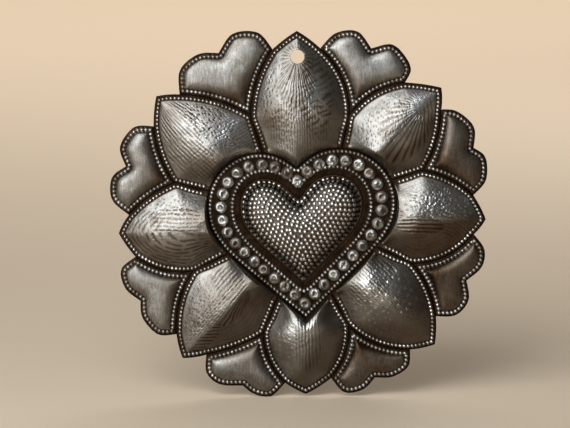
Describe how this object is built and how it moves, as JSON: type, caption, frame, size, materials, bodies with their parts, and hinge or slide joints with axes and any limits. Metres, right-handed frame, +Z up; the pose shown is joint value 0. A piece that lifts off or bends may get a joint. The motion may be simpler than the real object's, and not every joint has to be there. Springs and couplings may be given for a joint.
{
  "type": "metal heart wall ornament",
  "caption": "Round hammered steel wall ornament: a dotted heart in a studded heart border, ringed by domed petals with beaded small hearts between them, hung on a nail.",
  "frame": {"origin": "middle of the nail hole, on the wall plane that the back of the sheet's flat ground lies on", "axes": "+Z up, +Y into the wall, the face looks along -Y, +X to the viewer's right"},
  "size_m": [0.1769, 0.0101, 0.1741],
  "materials": {
    "hammered_steel": "hammered and burnished dark steel under clear lacquer, brown patina in the lows",
    "satin_steel": "smooth satin dark steel with fine scratches under clear lacquer",
    "dotted_steel": "burnished dots on a blackened ground under clear lacquer",
    "blackened_steel": "brown-black ground with burnished bosses and beads under clear lacquer"
  },
  "bodies": {
    "root": {"centre_heart": "dotted_steel", "heart_border": "blackened_steel", "petal_right": "hammered_steel", "petal_upper_right": "hammered_steel", "petal_top": "hammered_steel", "petal_upper_left": "hammered_steel", "petal_left": "hammered_steel", "petal_lower_left": "hammered_steel", "petal_bottom": "hammered_steel", "petal_lower_right": "hammered_steel", "small_heart_right_upper": "satin_steel", "small_heart_top_right": "satin_steel", "small_heart_top_left": "satin_steel", "small_heart_left_upper": "satin_steel", "small_heart_left_lower": "satin_steel", "small_heart_bottom_left": "satin_steel", "small_heart_bottom_right": "satin_steel", "small_heart_right_lower": "satin_steel"}
  },
  "joints": []
}
